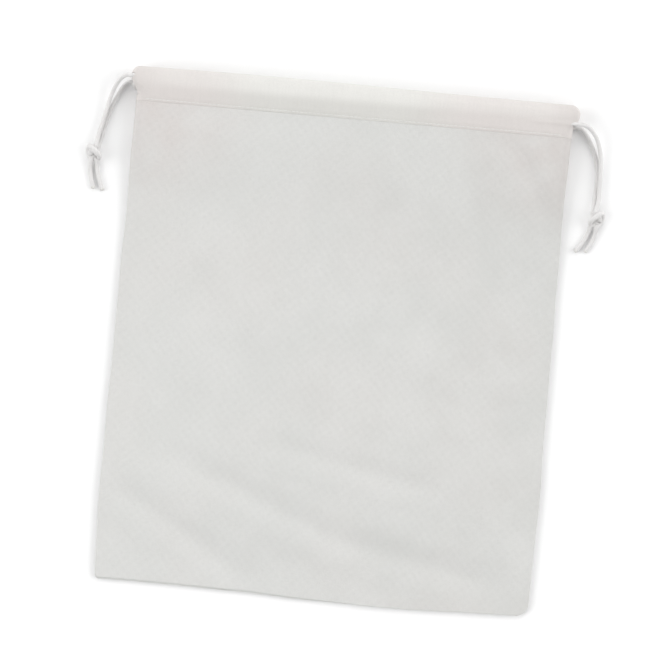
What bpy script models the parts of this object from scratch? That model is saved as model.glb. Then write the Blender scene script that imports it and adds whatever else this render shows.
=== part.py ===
"""A drawstring produce bag of fine mesh cloth, lying flat with its mouth open a little.

Frame: origin at the middle of the bag's footprint, on the surface that it lies on.
+X runs along the mouth, +Y from the bottom seam to the mouth, +Z up through the front.
"""

import math

import bmesh
import bpy
from mathutils import Vector

MM = 0.001

# The bag's outline
HALF_LENGTH = 178 * MM
HALF_WIDTH_AT_MOUTH = 152.2 * MM
HALF_WIDTH_AT_BOTTOM = 150.5 * MM
LEFT_CORNER_RADIUS = 3 * MM
RIGHT_CORNER_RADIUS = 8 * MM

# Cloth and gaps
CLOTH = 0.5 * MM
GAP = 0.3 * MM

# The bag is turned right side out, so its seam allowances lie inside, just behind the edges
ALLOWANCE_WIDTH = 5.8 * MM
ALLOWANCE_THICKNESS = 0.8 * MM
ALLOWANCE_INSET = 1.2 * MM
OVERLOCK_WIDTH = 1.0 * MM
OVERLOCK_THICKNESS = 0.5 * MM
EDGE_ROLL_HEIGHT = 1.1 * MM
EDGE_ROLL_WIDTH = 0.95 * MM

# The row of stitches along the casing's lower edge
THREAD_WIDTH = 1.0 * MM
THREAD_THICKNESS = 0.4 * MM
THREAD_INSET = 0.7 * MM
BACK_THREAD_Z = 0.05 * MM

# The casing round the mouth: a flat sleeve that turns back on itself at both ends
CASING_WIDTH = 23 * MM
CASING_THICKNESS = 4.8 * MM
CASING_END_X = 145.7 * MM
TURN_RADIUS = 6 * MM
TURN_X_AT_EDGE = 146.2 * MM
TURN_X_AT_CORD = 148.3 * MM
FLARE_TOP_Y = 162 * MM

# How the body's two panels stand apart
LOFT = 8.2 * MM
LOFT_LENGTH = 30 * MM
MOUTH_LIFT_FROM_Y = 70 * MM
SEAM_LIFT_FROM_Y = 105 * MM
BACK_LIFT_FROM_Y = 138 * MM
PILLOW_SQUARENESS = 3.5
MOUTH_SQUARENESS = 8
BACK_SQUARENESS = 14

# Drawstrings
CORD_DIAMETER = 3 * MM
POINT_SPACING = 7.5 * MM
KNOT_RADIUS = 5.2 * MM
KNOT_HALF_HEIGHT = 4 * MM
RUN_START_X = 156.9 * MM
LEFT_CORD_Y = {"front": 172.3 * MM, "back": 168.3 * MM}
RIGHT_CORD_Y = {"front": 165.3 * MM, "back": 163.3 * MM}
SLIT_MARGIN = 0.4 * MM
SLIT_CLEARANCE = 0.1 * MM
SLIT_START_PAST_CORD = 0.6 * MM
SLIT_REACH_INTO_TURN = 1.0 * MM

# Each free strand's route to the knot, in millimetres, from the end of a short straight lead
LEFT_FRONT_STRAND = (
    (-158.8, 172.3, 14.4), (-161.8, 170.9, 13.4), (-165.2, 167.6, 10.4), (-168.2, 162.2, 7.4),
    (-170.5, 155.5, 5.4), (-172.0, 148.6, 4.6), (-173.6, 141.1, 4.4), (-175.2, 134.4, 4.4),
    (-176.4, 128.4, 4.9), (-177.4, 123.0, 5.8),
)
LEFT_BACK_STRAND = (
    (-158.8, 168.3, 2.4), (-161.2, 165.4, 1.9), (-163.9, 161.0, 1.6), (-167.0, 154.6, 1.6),
    (-169.6, 147.8, 1.6), (-171.8, 140.4, 1.6), (-173.5, 132.9, 1.6), (-174.4, 126.8, 1.8),
    (-175.6, 121.6, 2.5),
)
RIGHT_FRONT_STRAND = (
    (158.8, 165.3, 14.4), (162.2, 164.2, 13.2), (166.6, 161.0, 10.0), (170.6, 155.2, 7.0),
    (173.2, 147.2, 4.9), (174.3, 138.2, 4.4), (174.7, 129.0, 4.4), (174.9, 120.0, 4.4),
    (174.9, 113.4, 4.9), (174.9, 107.6, 5.8),
)
RIGHT_BACK_STRAND = (
    (158.8, 163.3, 2.4), (161.2, 160.2, 1.9), (164.4, 155.8, 1.6), (168.2, 149.4, 1.6),
    (171.0, 142.6, 1.6), (172.6, 135.6, 1.6), (173.1, 128.6, 1.6), (173.0, 121.4, 1.6),
    (172.7, 113.8, 1.8), (172.7, 106.8, 2.5),
)

# The knots' centres and the tails that leave them, in millimetres
LEFT_KNOT = (-178.5, 116.8, 4.1)
RIGHT_KNOT = (174.5, 101.3, 4.1)
LEFT_FRONT_TAIL = (
    (-180.3, 110.9, 4.0), (-180.5, 107.4, 2.6), (-180.2, 103.4, 1.7), (-179.1, 98.4, 1.55),
    (-177.2, 92.1, 1.55),
)
LEFT_BACK_TAIL = (
    (-176.4, 111.0, 3.4), (-175.8, 107.8, 2.2), (-175.2, 104.2, 1.6), (-173.7, 98.8, 1.55),
    (-170.7, 91.4, 1.55),
)
RIGHT_FRONT_TAIL = (
    (174.9, 95.1, 4.0), (174.8, 91.8, 2.6), (174.0, 87.8, 1.7), (172.2, 83.1, 1.55),
    (169.2, 77.9, 1.55),
)
RIGHT_BACK_TAIL = (
    (171.4, 96.0, 3.4), (170.3, 92.6, 2.2), (169.0, 89.0, 1.6), (166.1, 83.4, 1.55),
    (162.1, 77.7, 1.55),
)

# Colours
MESH_WHITE = (0.73, 0.73, 0.705, 1)
CASING_WHITE = (0.79, 0.785, 0.755, 1)
THREAD_WHITE = (0.82, 0.82, 0.80, 1)
CORD_WHITE = (0.81, 0.81, 0.785, 1)

CASING_LOW_Y = HALF_LENGTH - CASING_WIDTH
CASING_MID_Y = HALF_LENGTH - CASING_WIDTH / 2
BACK_Z = CASING_THICKNESS / 2
FRONT_Z = BACK_Z + 2 * TURN_RADIUS
TURN_Z = BACK_Z + TURN_RADIUS
PANEL_HIGH_Y = CASING_LOW_Y - GAP
ALLOWANCE_Z = CLOTH + GAP
FRONT_EDGE_Z = 2 * CLOTH + GAP
OVERLOCK_INSET = ALLOWANCE_INSET + ALLOWANCE_WIDTH + GAP


def clear_scene():
    for obj in list(bpy.data.objects):
        bpy.data.objects.remove(obj)


def fabric(name, colour, roughness):
    material = bpy.data.materials.new(name)
    material.use_nodes = True
    shader = material.node_tree.nodes["Principled BSDF"]
    shader.inputs["Base Color"].default_value = colour
    shader.inputs["Roughness"].default_value = roughness
    shader.inputs["Metallic"].default_value = 0
    return material


def place(name, data, material):
    obj = bpy.data.objects.new(name, data)
    obj.data.materials.append(material)
    bpy.context.scene.collection.objects.link(obj)
    return obj


def mesh_of(name, points, faces, smooth=True):
    mesh = bpy.data.meshes.new(name)
    mesh.from_pydata(points, [], faces)
    tidy = bmesh.new()
    tidy.from_mesh(mesh)
    bmesh.ops.recalc_face_normals(tidy, faces=tidy.faces)
    tidy.to_mesh(mesh)
    tidy.free()
    if smooth:
        mesh.shade_smooth()
    return mesh


def ease(value, start, end):
    """0 before start, 1 after end, and a smooth step between."""
    part = min(max((value - start) / (end - start), 0), 1)
    return part * part * (3 - 2 * part)


def grid_faces(rows, columns, closed_columns=False):
    """The quads of a grid whose point (row, column) is number row * columns + column."""
    faces = []
    for row in range(rows - 1):
        near = row * columns
        far = near + columns
        for column in range(columns if closed_columns else columns - 1):
            right = (column + 1) % columns
            faces.append((near + column, near + right, far + right, far + column))
    return faces


def half_width(y, side):
    """The outline's distance from the middle at this height, with the bottom corner rounded."""
    along = (y + HALF_LENGTH) / (CASING_LOW_Y + HALF_LENGTH)
    width = HALF_WIDTH_AT_BOTTOM + (HALF_WIDTH_AT_MOUTH - HALF_WIDTH_AT_BOTTOM) * along
    radius = LEFT_CORNER_RADIUS if side < 0 else RIGHT_CORNER_RADIUS
    into_corner = max(radius - (y + HALF_LENGTH), 0)
    return width - radius + math.sqrt(radius**2 - into_corner**2)


def edge_lift(y):
    """The side edges lie on the table and climb to the middle of the casing's turned ends."""
    middle = ALLOWANCE_Z + ALLOWANCE_THICKNESS / 2
    return (TURN_Z - middle) * ease(y, SEAM_LIFT_FROM_Y, CASING_LOW_Y)


def front_crown(y):
    """How far the front panel's middle stands above its rolled edges."""
    loft = LOFT * (1 - math.exp(-(y + HALF_LENGTH) / LOFT_LENGTH))
    mouth_rise = FRONT_Z + CLOTH / 2 - edge_lift(CASING_LOW_Y) - FRONT_EDGE_Z - EDGE_ROLL_HEIGHT
    return loft + (mouth_rise - loft) * ease(y, MOUTH_LIFT_FROM_Y, CASING_LOW_Y)


def back_floor(y):
    """The back panel's underside along the bag's middle."""
    return (BACK_Z - CLOTH / 2) * ease(y, BACK_LIFT_FROM_Y, CASING_LOW_Y)


def panel_point(across, y, is_front):
    """A point of a panel's outer face. across runs from -1 at the left edge to 1 at the right."""
    width = half_width(y, across)
    lift = edge_lift(y)
    if not is_front:
        flat_crown = 1 - abs(across) ** BACK_SQUARENESS
        return across * width, y, lift + (back_floor(y) - lift) * flat_crown
    at_mouth = ease(y, MOUTH_LIFT_FROM_Y, CASING_LOW_Y)
    squareness = PILLOW_SQUARENESS + (MOUTH_SQUARENESS - PILLOW_SQUARENESS) * at_mouth
    crown = 1 - abs(across) ** squareness
    from_edge = min(width * (1 - abs(across)), y + HALF_LENGTH)
    roll = EDGE_ROLL_HEIGHT * min(from_edge / EDGE_ROLL_WIDTH, 1)
    return across * width, y, lift + FRONT_EDGE_Z + roll + front_crown(y) * crown


def panel_columns():
    """Shares of the half width, with a narrow strip at each edge for its roll."""
    inner = 1 - EDGE_ROLL_WIDTH / HALF_WIDTH_AT_BOTTOM
    count = 27
    middle = [inner * math.sin((i / (count - 1) - 0.5) * math.pi) for i in range(count)]
    return [-1, *middle, 1]


def rows_from(low, corner_rows, rows):
    """Places along the bag from low up: close together past the bottom corners, then even."""
    corner_top = -HALF_LENGTH + RIGHT_CORNER_RADIUS
    corner = [
        low + (corner_top - low) * (1 - math.cos(i / corner_rows * math.pi / 2)) for i in range(corner_rows)
    ]
    return corner + [corner_top + (PANEL_HIGH_Y - corner_top) * i / rows for i in range(rows + 1)]


def panel_rows():
    return [-HALF_LENGTH, *rows_from(-HALF_LENGTH + EDGE_ROLL_WIDTH, corner_rows=6, rows=28)]


def make_panel(name, material, is_front):
    points = [panel_point(across, y, is_front) for y in panel_rows() for across in panel_columns()]
    columns = len(panel_columns())
    rows = len(panel_rows())
    inner = -CLOTH if is_front else CLOTH
    count = len(points)
    points += [(x, y, z + inner) for x, y, z in points]
    outer_faces = grid_faces(rows, columns)
    faces = outer_faces + [tuple(count + i for i in reversed(face)) for face in outer_faces]
    rim = (
        [column for column in range(columns)]
        + [row * columns + columns - 1 for row in range(1, rows)]
        + [(rows - 1) * columns + column for column in range(columns - 2, -1, -1)]
        + [row * columns for row in range(rows - 2, 0, -1)]
    )
    for a, b in zip(rim, rim[1:] + rim[:1]):
        faces.append((b, a, count + a, count + b))
    return place(name, mesh_of(name, points, faces), material)


def make_bar(name, material, sections):
    """A closed bar through its cross sections, each a loop of the same number of points."""
    across = len(sections[0])
    points = [point for section in sections for point in section]
    faces = grid_faces(len(sections), across, closed_columns=True)
    faces.append(tuple(range(across)))
    faces.append(tuple(range(len(points) - across, len(points))))
    return place(name, mesh_of(name, points, faces, smooth=False), material)


def strip_section(y, x_from, x_to, z_low, z_high):
    return [(x_from, y, z_low), (x_to, y, z_low), (x_to, y, z_high), (x_from, y, z_high)]


def make_side_strip(name, material, side, inset, width, thickness):
    """A strip inside a side edge, from inset to inset + width behind it."""
    sections = []
    for y in rows_from(-HALF_LENGTH + ALLOWANCE_INSET, corner_rows=6, rows=34):
        outer = side * (half_width(y, side) - inset)
        low = edge_lift(y) + ALLOWANCE_Z
        sections.append(strip_section(y, outer - side * width, outer, low, low + thickness))
    return make_bar(name, material, sections)


def make_crosswise_strip(name, material, x_ends, y_low, width, z_low, thickness):
    y_high = y_low + width
    z_high = z_low + thickness
    sections = [
        [(x, y_low, z_low), (x, y_high, z_low), (x, y_high, z_high), (x, y_low, z_high)] for x in x_ends
    ]
    return make_bar(name, material, sections)


def make_bottom_strip(name, material, inset, width, thickness):
    """A strip inside the bottom edge, between the strips along the two sides."""
    clear = OVERLOCK_INSET + OVERLOCK_WIDTH + GAP
    x_ends = tuple(side * (half_width(-HALF_LENGTH, side) - clear) for side in (-1, 1))
    y_low = -HALF_LENGTH + inset
    return make_crosswise_strip(name, material, x_ends, y_low, width, ALLOWANCE_Z, thickness)


def sleeve_profile(inset, count=28):
    """The casing's flat oval section, as (y, distance from its middle plane)."""
    half_y = CASING_WIDTH / 2 - inset
    half_z = CASING_THICKNESS / 2 - inset
    profile = []
    for i in range(count):
        angle = 2 * math.pi * i / count
        c, s = math.cos(angle), math.sin(angle)
        profile.append((CASING_MID_Y + half_y * math.copysign(math.sqrt(abs(c)), c), half_z * s))
    return profile


def make_sleeve(name, material, stations, place_point):
    """A sleeve with open ends, swept through its stations by place_point(y, offset, station)."""
    outer = sleeve_profile(0)
    inner = sleeve_profile(CLOTH)
    count = len(outer)
    points = []
    for station in stations:
        points += [place_point(y, offset, station) for y, offset in outer]
    shift = len(points)
    for station in stations:
        points += [place_point(y, offset, station) for y, offset in inner]
    skin = grid_faces(len(stations), count, closed_columns=True)
    faces = skin + [tuple(shift + i for i in reversed(face)) for face in skin]
    for first in (0, (len(stations) - 1) * count):
        for i in range(count):
            j = (i + 1) % count
            faces.append((first + i, first + j, shift + first + j, shift + first + i))
    return place(name, mesh_of(name, points, faces), material)


def make_casing(name, material, z):
    return make_sleeve(
        name,
        material,
        (-CASING_END_X, CASING_END_X),
        lambda y, offset, x: (x, y, z + offset),
    )


def turn_centre(y):
    """The turned end flares out from the casing's lower edge to the cords."""
    return TURN_X_AT_EDGE + (TURN_X_AT_CORD - TURN_X_AT_EDGE) * ease(y, CASING_LOW_Y, FLARE_TOP_Y)


def make_slit_cutter(name, side, y_low, y_high):
    """A C-shaped prism that opens the outer wall of a turned end where both cords leave it."""
    inside = TURN_X_AT_CORD + SLIT_START_PAST_CORD
    behind = TURN_X_AT_CORD + TURN_RADIUS - CASING_THICKNESS / 2 + SLIT_REACH_INTO_TURN
    outside = TURN_X_AT_CORD + TURN_RADIUS + CASING_THICKNESS
    low = CLOTH + SLIT_CLEARANCE
    high = 2 * TURN_Z - low
    back_top = CASING_THICKNESS - CLOTH / 2
    front_bottom = 2 * TURN_Z - back_top
    outline = (
        (outside, low), (inside, low), (inside, back_top), (behind, back_top),
        (behind, front_bottom), (inside, front_bottom), (inside, high), (outside, high),
    )
    sections = [[(side * x, y, z) for x, z in outline] for y in (y_low, y_high)]
    cutter = make_bar(name, fabric(name, CASING_WHITE, 0.9), sections)
    cutter.hide_render = True
    cutter.display_type = "WIRE"
    return cutter


def make_casing_end(name, material, side, cord_y):
    turns = 14

    def turned(y, offset, station):
        if station in ("front", "back"):
            z = FRONT_Z + offset if station == "front" else BACK_Z - offset
            return side * (CASING_END_X + GAP), y, z
        angle = math.pi / 2 - math.pi * station / turns
        reach = TURN_RADIUS + offset
        return (
            side * (turn_centre(y) + reach * math.cos(angle)),
            y,
            TURN_Z + reach * math.sin(angle),
        )

    stations = ["front", *range(turns + 1), "back"]
    end = make_sleeve(name, material, stations, turned)
    room = CORD_DIAMETER / 2 + SLIT_MARGIN
    cutter = make_slit_cutter(
        name + "_cutter", side, min(cord_y.values()) - room, max(cord_y.values()) + room
    )
    cut = end.modifiers.new("slit", "BOOLEAN")
    cut.operation = "DIFFERENCE"
    cut.solver = "EXACT"
    cut.object = cutter
    return end


def smooth_route(route, spacing=POINT_SPACING):
    """Points about this far apart on the Catmull-Rom curve through a route in millimetres."""
    knots = [Vector(point) * MM for point in route]
    knots = [2 * knots[0] - knots[1], *knots, 2 * knots[-1] - knots[-2]]
    fine = []
    steps = 12
    for a, b, c, d in zip(knots, knots[1:], knots[2:], knots[3:]):
        for i in range(steps):
            t = i / steps
            fine.append(
                0.5
                * (2 * b + (c - a) * t + (2 * a - 5 * b + 4 * c - d) * t**2 + (3 * b - a - 3 * c + d) * t**3)
            )
    fine.append(knots[-2])
    reach = [0]
    for a, b in zip(fine, fine[1:]):
        reach.append(reach[-1] + (b - a).length)
    count = max(round(reach[-1] / spacing), 3)
    chosen = []
    at = 0
    for i in range(count + 1):
        wanted = reach[-1] * i / count
        while at < len(fine) - 2 and reach[at + 1] < wanted:
            at += 1
        part = (wanted - reach[at]) / (reach[at + 1] - reach[at])
        chosen.append(fine[at].lerp(fine[at + 1], part))
    return chosen


def make_cord(name, material, points):
    curve = bpy.data.curves.new(name, "CURVE")
    curve.dimensions = "3D"
    curve.bevel_depth = CORD_DIAMETER / 2
    curve.bevel_resolution = 2
    curve.use_fill_caps = True
    spline = curve.splines.new("POLY")
    spline.points.add(len(points) - 1)
    for point, place_at in zip(spline.points, points):
        point.co = (*place_at, 1)
    return place(name, curve, material)


def make_run(name, material, side, cord_y):
    """The part of a loop inside the casing: in at its own slit, round the far end and back."""
    far = -side * TURN_X_AT_CORD
    near = side * RUN_START_X
    straights = 6
    turns = 12
    front = [(near + (far - near) * i / straights, cord_y["front"], FRONT_Z) for i in range(straights)]
    bend = []
    for i in range(turns + 1):
        angle = math.pi * i / turns
        share = (1 - math.cos(angle)) / 2
        y = cord_y["front"] + (cord_y["back"] - cord_y["front"]) * share
        bend.append((far - side * TURN_RADIUS * math.sin(angle), y, TURN_Z + TURN_RADIUS * math.cos(angle)))
    back = [(far + (near - far) * i / straights, cord_y["back"], BACK_Z) for i in range(1, straights + 1)]
    return make_cord(name, material, front + bend + back)


def make_knot(name, material, centre):
    """The outer shape of an overhand knot tied in both strands: a squat, three-lobed lump."""
    rows = 12
    columns = 24
    lobes = 3
    bulge = 0.06
    middle = Vector(centre) * MM
    points = [tuple(middle - Vector((0, 0, KNOT_HALF_HEIGHT)))]
    for row in range(1, rows):
        tilt = math.pi * row / rows - math.pi / 2
        for column in range(columns):
            turn = 2 * math.pi * column / columns
            radius = KNOT_RADIUS * (1 - bulge + bulge * math.cos(lobes * turn))
            ring = radius * math.cos(tilt)
            offset = (ring * math.cos(turn), ring * math.sin(turn), KNOT_HALF_HEIGHT * math.sin(tilt))
            points.append(tuple(middle + Vector(offset)))
    points.append(tuple(middle + Vector((0, 0, KNOT_HALF_HEIGHT))))
    faces = [tuple(1 + i for i in face) for face in grid_faces(rows - 1, columns, closed_columns=True)]
    last = len(points) - 1
    for column in range(columns):
        following = (column + 1) % columns
        faces.append((0, 1 + following, 1 + column))
        faces.append((last, last - columns + column, last - columns + following))
    return place(name, mesh_of(name, points, faces), material)


def make_drawstring(side_name, material, side, cord_y, strands, knot, tails):
    make_run(side_name + "_drawstring_run", material, side, cord_y)
    for place_name, route in strands.items():
        lead = Vector((side * (RUN_START_X + GAP), route[0][1] * MM, route[0][2] * MM))
        make_cord(f"{side_name}_{place_name}_strand", material, [lead, *smooth_route(route)])
    make_knot(side_name + "_knot", material, knot)
    for place_name, route in tails.items():
        make_cord(f"{side_name}_{place_name}_tail", material, smooth_route(route))


def make_stitching_row(name, material, z_low):
    """The row of stitches along the casing's lower edge."""
    x_ends = (-CASING_END_X, CASING_END_X)
    y_low = CASING_LOW_Y + THREAD_INSET
    return make_crosswise_strip(name, material, x_ends, y_low, THREAD_WIDTH, z_low, THREAD_THICKNESS)


def main():
    clear_scene()
    mesh_cloth = fabric("mesh_cloth", MESH_WHITE, 0.9)
    casing_cloth = fabric("casing_cloth", CASING_WHITE, 0.88)
    thread = fabric("thread", THREAD_WHITE, 0.8)
    cord = fabric("cord", CORD_WHITE, 0.85)

    make_panel("front_panel", mesh_cloth, is_front=True)
    make_panel("back_panel", mesh_cloth, is_front=False)
    allowance = (ALLOWANCE_INSET, ALLOWANCE_WIDTH, ALLOWANCE_THICKNESS)
    overlock = (OVERLOCK_INSET, OVERLOCK_WIDTH, OVERLOCK_THICKNESS)
    for side_name, side in (("left", -1), ("right", 1)):
        make_side_strip(side_name + "_side_seam", mesh_cloth, side, *allowance)
        make_side_strip(side_name + "_side_stitching", thread, side, *overlock)
    make_bottom_strip("bottom_seam", mesh_cloth, *allowance)
    make_bottom_strip("bottom_stitching", thread, *overlock)

    make_casing("front_casing", casing_cloth, FRONT_Z)
    make_casing("back_casing", casing_cloth, BACK_Z)
    front_thread_z = 2 * TURN_Z - BACK_THREAD_Z - THREAD_THICKNESS
    make_stitching_row("back_casing_stitching", thread, BACK_THREAD_Z)
    make_stitching_row("front_casing_stitching", thread, front_thread_z)
    make_casing_end("left_casing_end", casing_cloth, -1, LEFT_CORD_Y)
    make_casing_end("right_casing_end", casing_cloth, 1, RIGHT_CORD_Y)

    make_drawstring(
        "left", cord, -1, LEFT_CORD_Y,
        {"front": LEFT_FRONT_STRAND, "back": LEFT_BACK_STRAND},
        LEFT_KNOT,
        {"front": LEFT_FRONT_TAIL, "back": LEFT_BACK_TAIL},
    )
    make_drawstring(
        "right", cord, 1, RIGHT_CORD_Y,
        {"front": RIGHT_FRONT_STRAND, "back": RIGHT_BACK_STRAND},
        RIGHT_KNOT,
        {"front": RIGHT_FRONT_TAIL, "back": RIGHT_BACK_TAIL},
    )


main()
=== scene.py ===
"""The looks of a fine mesh produce bag lying flat, with its casing, two drawstrings and studio."""

import math

import bpy
import numpy as np
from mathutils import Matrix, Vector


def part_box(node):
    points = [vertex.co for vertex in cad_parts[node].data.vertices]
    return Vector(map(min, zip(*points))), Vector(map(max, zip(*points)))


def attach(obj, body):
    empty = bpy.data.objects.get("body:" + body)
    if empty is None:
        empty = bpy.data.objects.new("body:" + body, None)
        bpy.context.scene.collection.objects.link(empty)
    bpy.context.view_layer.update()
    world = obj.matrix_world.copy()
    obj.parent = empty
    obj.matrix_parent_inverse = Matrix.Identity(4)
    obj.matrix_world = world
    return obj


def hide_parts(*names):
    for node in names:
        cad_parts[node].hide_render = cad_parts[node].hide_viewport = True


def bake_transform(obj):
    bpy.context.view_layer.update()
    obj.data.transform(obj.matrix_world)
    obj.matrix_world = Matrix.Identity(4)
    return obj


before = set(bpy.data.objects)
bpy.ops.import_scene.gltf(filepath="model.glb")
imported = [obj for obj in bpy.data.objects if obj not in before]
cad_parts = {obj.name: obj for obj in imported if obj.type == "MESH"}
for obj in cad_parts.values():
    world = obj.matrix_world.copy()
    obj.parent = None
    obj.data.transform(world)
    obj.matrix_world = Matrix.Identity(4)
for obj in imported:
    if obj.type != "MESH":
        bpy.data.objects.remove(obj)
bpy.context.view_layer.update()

MM = 0.001

# ---------------------------------------------------------------- the bag's measures

SIDES = {"left": -1, "right": 1}

BOTTOM_Y = -178 * MM
HALF_WIDTH = 152 * MM
HALF_WIDTH_AT_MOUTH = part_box("front_panel")[1].x
CASING_LOW_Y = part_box("front_casing")[0].y
CASING_END_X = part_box("front_casing")[1].x

# The mouth is a flat ring: two long sides at these heights, joined by a half turn at each end
FRONT_Z = (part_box("front_casing")[0].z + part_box("front_casing")[1].z) / 2
BACK_Z = (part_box("back_casing")[0].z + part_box("back_casing")[1].z) / 2
TURN_Z = (FRONT_Z + BACK_Z) / 2
TURN_RADIUS = (FRONT_Z - BACK_Z) / 2
TURN_X = 146.2 * MM
STRAIGHT_END_X = 143 * MM

# The side edges' distances from the middle, in millimetres: (height, distance)
SIDE_EDGES = {
    -1: ((-178, 152.0), (-160, 153.1), (-125, 153.9), (-55, 153.7), (15, 153.2), (85, 152.6), (155, 152.2)),
    1: ((-178, 150.9), (-150, 151.3), (-97, 152.1), (-28, 151.6), (42, 151.5), (112, 151.1), (155, 152.2)),
}
CORNER_RADIUS = {-1: 3 * MM, 1: 8 * MM}
EDGE_WAVER = 0.2 * MM

# The bottom edge bows outwards a little, most of all right of the middle
BOTTOM_BOW = 3.8 * MM
BOW_MIDDLE_X = 52 * MM
BOW_WIDTH = 85 * MM
BOW_HEIGHT = 60 * MM

# The casing's folded top bows outwards too, most of all left of the middle
TOP_BOW = 1.6 * MM
TOP_BOW_MIDDLE_X = -55 * MM
TOP_BOW_WIDTH = 105 * MM

# The seamed edges of the lofted bag stand this far off the table. The front cloth follows the
# bottom edge up only within this length of it
EDGE_FLOAT = 2.5 * MM
BOTTOM_FLOAT = 2.2 * MM
FLOAT_LENGTH = 16 * MM

# The front cloth rises from its seams by the loft, mostly within the loft's length
LOFT = 8.2 * MM
LOFT_LENGTH = 42 * MM

# One ply, a seamed edge's roll and whole thickness, the flap turned in there, and the tuck under the casing
CLOTH = 0.3 * MM
ROLL = 0.38 * MM
EDGE_THICKNESS = 1.55 * MM
FLAP = 1.0 * MM
TUCK = 4.5 * MM

# A cloth's points are this far apart, and closer by these steps, in millimetres, at a seamed edge
CLOTH_SPACING = 2.2 * MM
EDGE_STEPS = (0.25, 0.35, 0.5, 0.6, 0.7, 0.8, 0.9, 1.0, 1.1, 1.2, 1.4, 1.6)

# The seams: how far in from the edge their allowance and thread lie, and the thread's loops
SEAM_SPACING = 2.5 * MM
BOTTOM_SEAM_END_X = 139 * MM
INWARD = {"left": (1, 0, 0), "right": (-1, 0, 0), "bottom": (0, 1, 0)}
ALLOWANCE_INSET = 1.3 * MM
ALLOWANCE_WIDTH = 5.6 * MM
OVERLOCK_INSET = 7.6 * MM
OVERLOCK_PITCH = 2.4 * MM
OVERLOCK_REACH = 0.75 * MM
OVERLOCK_HEIGHT = 0.42 * MM
OVERLOCK_THREAD = 0.13 * MM

# gather's share of the way up to the mouth: full above the second height and none below the first
GATHER_FROM_Y = 15 * MM
GATHER_TO_Y = 158 * MM

# The cords: their braid, where their hidden runs turn and end, and their heights in the casing
CORD_DIAMETER = 3 * MM
BRAID_LENGTH = 7.5 * MM
BRAID_HEIGHT = 0.075 * MM
HIDDEN_SQUEEZE = 0.97
TURN_X_AT_CORD = 148.3 * MM
RUN_END_X = 155.9 * MM
LEFT_CORD_Y = {"front": 172.3 * MM, "back": 168.3 * MM}
RIGHT_CORD_Y = {"front": 165.3 * MM, "back": 163.3 * MM}
RIGHT_CORD_RISE = 3.2 * MM

# The free strands, from the slit to the knot, and the tails beyond it, in millimetres
STRANDS = {
    "left_front": (
        (-159.0, 172.1, 14.3), (-162.1, 170.8, 13.3), (-165.2, 167.7, 10.6), (-168.2, 162.2, 7.4),
        (-170.5, 155.5, 5.4), (-172.0, 148.6, 4.6), (-173.6, 141.1, 4.4), (-175.2, 134.4, 4.4),
        (-176.4, 128.4, 4.9), (-177.4, 123.0, 5.8),
    ),
    "left_back": (
        (-159.0, 167.8, 2.3), (-161.7, 165.4, 2.0), (-164.2, 161.0, 1.7), (-167.0, 154.6, 1.6),
        (-169.6, 147.8, 1.6), (-171.8, 140.4, 1.6), (-173.5, 132.9, 1.6), (-174.4, 126.8, 1.8),
        (-175.6, 121.6, 2.5),
    ),
    "right_front": (
        (159.0, 165.1, 14.3), (162.4, 164.1, 13.2), (166.6, 161.0, 10.2), (170.6, 155.2, 7.0),
        (173.2, 147.2, 4.9), (174.3, 138.2, 4.4), (174.7, 129.0, 4.4), (174.9, 120.0, 4.4),
        (174.9, 113.4, 4.9), (174.9, 107.6, 5.8),
    ),
    "right_back": (
        (159.0, 162.8, 2.3), (161.8, 160.4, 2.0), (164.8, 155.8, 1.7), (168.2, 149.4, 1.6),
        (171.0, 142.6, 1.6), (172.6, 135.6, 1.6), (173.1, 128.6, 1.6), (173.0, 121.4, 1.6),
        (172.7, 113.8, 1.8), (172.7, 106.8, 2.5),
    ),
}
TAILS = {
    "left_front": (
        (-180.3, 110.9, 4.0), (-180.5, 107.4, 2.6), (-180.2, 103.4, 1.7), (-179.1, 98.4, 1.55),
        (-177.2, 92.1, 1.55),
    ),
    "left_back": (
        (-176.4, 111.0, 3.4), (-175.8, 107.8, 2.2), (-175.2, 104.2, 1.6), (-173.7, 98.8, 1.55),
        (-170.7, 91.4, 1.55),
    ),
    "right_front": (
        (174.9, 95.1, 4.0), (174.8, 91.8, 2.6), (174.0, 87.8, 1.7), (172.2, 83.1, 1.55),
        (169.2, 77.9, 1.55),
    ),
    "right_back": (
        (171.4, 96.0, 3.4), (170.3, 92.6, 2.2), (169.0, 89.0, 1.6), (166.1, 83.4, 1.55),
        (162.1, 77.7, 1.55),
    ),
}
KNOTS = {"left": (-178.5, 116.8, 4.1), "right": (174.5, 101.3, 4.1)}

# An overhand knot's line, from its top to its bottom, about its own middle, in millimetres
KNOT_LINE = (
    (1.9, 5.0, 0.9), (1.3, 2.9, 0.5), (0.3, 0.4, -0.3), (-1.1, -1.9, -0.6),
    (-2.4, -2.4, -1.0), (-3.2, -0.8, -1.3), (-3.3, 1.3, -0.6), (-2.7, 2.7, 0.9),
    (-1.2, 2.3, 2.5), (0.8, 0.9, 3.0), (2.5, -0.6, 2.2), (3.3, -1.7, 0.4),
    (2.7, -2.4, -1.5), (1.2, -2.3, -2.5), (-0.1, -3.0, -2.2), (-0.3, -4.3, -1.0),
)

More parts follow.
